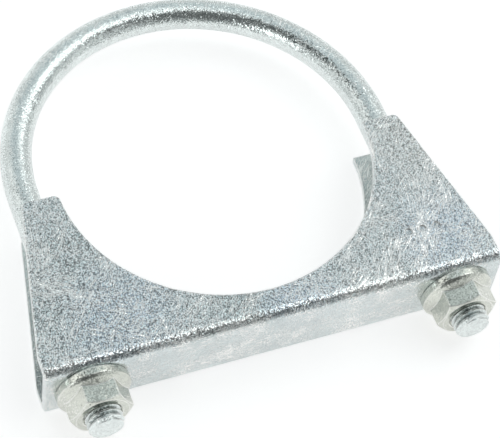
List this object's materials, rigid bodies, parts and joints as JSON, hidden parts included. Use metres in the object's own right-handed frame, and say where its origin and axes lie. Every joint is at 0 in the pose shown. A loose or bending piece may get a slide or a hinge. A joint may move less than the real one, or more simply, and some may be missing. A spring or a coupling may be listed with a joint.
{
  "type": "u-bolt pipe clamp",
  "caption": "Zinc-plated U-bolt pipe clamp: a threaded U-bolt drawn through a pressed channel saddle by two flange nuts.",
  "frame": {"origin": "on the axis of the clamped pipe, half way along the saddle's width", "axes": "+Z along the pipe, up when the clamp lies flat; +Y from the nuts to the top of the loop; +X from the left nut to the right nut"},
  "size_m": [0.102, 0.1037, 0.016],
  "materials": {
    "zinc_sheet": "bright zinc plate with a faint blue cast, fine grain and light scratches",
    "zinc_rod": "bright zinc plate on drawn rod, fine streaks along the rod",
    "zinc_nut": "zinc plate with a slightly warm cast"
  },
  "bodies": {
    "saddle": {"saddle": "zinc_sheet"},
    "u_bolt": {"u_bolt": "zinc_rod"},
    "left_nut": {"left_nut": "zinc_nut"},
    "right_nut": {"right_nut": "zinc_nut"}
  },
  "joints": [
    {"name": "left_nut_turn", "type": "hinge", "parent": "saddle", "child": "left_nut", "pos_m": [-0.041, -0.0424, 0], "axis": [0, 1, 0], "range_deg": [-2520, 2520]},
    {"name": "right_nut_turn", "type": "hinge", "parent": "saddle", "child": "right_nut", "pos_m": [0.041, -0.0424, 0], "axis": [0, 1, 0], "range_deg": [-2520, 2520]},
    {"name": "bolt_draw", "type": "slide", "parent": "saddle", "child": "u_bolt", "axis": [0, -1, 0], "range_m": [-0.00875, 0.00875]}
  ],
  "couplings": [
    {"joint": "left_nut_turn", "follows": "bolt_draw", "rad_per_m": 5026.5},
    {"joint": "right_nut_turn", "follows": "bolt_draw", "rad_per_m": 5026.5}
  ]
}
